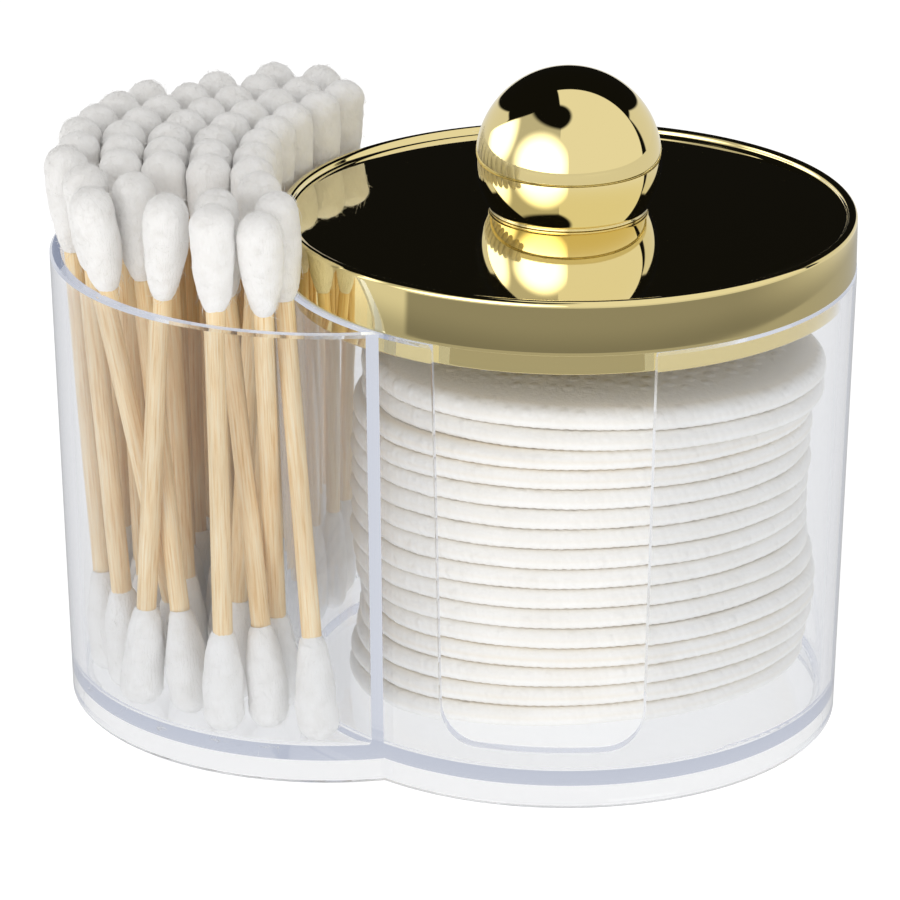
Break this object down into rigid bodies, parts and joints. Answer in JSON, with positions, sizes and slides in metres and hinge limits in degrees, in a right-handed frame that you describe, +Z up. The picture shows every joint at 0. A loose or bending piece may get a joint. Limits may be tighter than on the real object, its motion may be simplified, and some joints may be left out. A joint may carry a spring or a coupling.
{
  "type": "cotton swab holder",
  "caption": "Clear two-compartment holder for cotton swabs and cotton pads, with a finger slot in front of the pads and a round plated lid with a ball knob.",
  "frame": {"origin": "middle of the overall footprint, on the surface the holder stands on", "axes": "+X from the swab compartment toward the pad compartment, the finger slot faces -Y, +Z up"},
  "size_m": [0.109, 0.0775, 0.0901],
  "materials": {
    "clear_plastic": "clear, glossy",
    "gold_plating": "mirror-bright pale gold plating",
    "screw_steel": "plain",
    "cotton_pad": "matt felted cotton",
    "cotton_wound": "matt wound cotton",
    "bamboo": "smooth, bare"
  },
  "bodies": {
    "holder": {"container": "clear_plastic", "pad_1": "cotton_pad", "pad_2": "cotton_pad", "pad_3": "cotton_pad", "pad_4": "cotton_pad", "pad_5": "cotton_pad", "pad_6": "cotton_pad", "pad_7": "cotton_pad", "pad_8": "cotton_pad", "pad_9": "cotton_pad", "pad_10": "cotton_pad", "pad_11": "cotton_pad", "pad_12": "cotton_pad", "pad_13": "cotton_pad", "pad_14": "cotton_pad", "pad_15": "cotton_pad", "pad_16": "cotton_pad", "stick_front_1": "bamboo", "stick_front_2": "bamboo", "stick_front_3": "bamboo", "stick_front_4": "bamboo", "stick_front_5": "bamboo", "stick_front_6": "bamboo", "stick_front_7": "bamboo", "stick_front_8": "bamboo", "stick_front_9": "bamboo", "stick_front_10": "bamboo", "tips_front_1": "cotton_wound", "tips_front_2": "cotton_wound", "tips_front_3": "cotton_wound", "tips_front_4": "cotton_wound", "tips_front_5": "cotton_wound", "tips_front_6": "cotton_wound", "tips_front_7": "cotton_wound", "tips_front_8": "cotton_wound", "tips_front_9": "cotton_wound", "tips_front_10": "cotton_wound", "sticks_row_1": "bamboo", "sticks_row_2": "bamboo", "sticks_row_3": "bamboo", "sticks_row_4": "bamboo", "sticks_row_5": "bamboo", "sticks_row_6": "bamboo", "sticks_row_7": "bamboo", "sticks_row_8": "bamboo", "tips_row_1": "cotton_wound", "tips_row_2": "cotton_wound", "tips_row_3": "cotton_wound", "tips_row_4": "cotton_wound", "tips_row_5": "cotton_wound", "tips_row_6": "cotton_wound", "tips_row_7": "cotton_wound", "tips_row_8": "cotton_wound"},
    "lid": {"lid": "gold_plating", "knob": "gold_plating", "knob_screw": "screw_steel"}
  },
  "joints": [
    {"name": "lid_lift", "type": "slide", "parent": "holder", "child": "lid", "axis": [0, 0, 1], "range_m": [0, 0.05]}
  ]
}
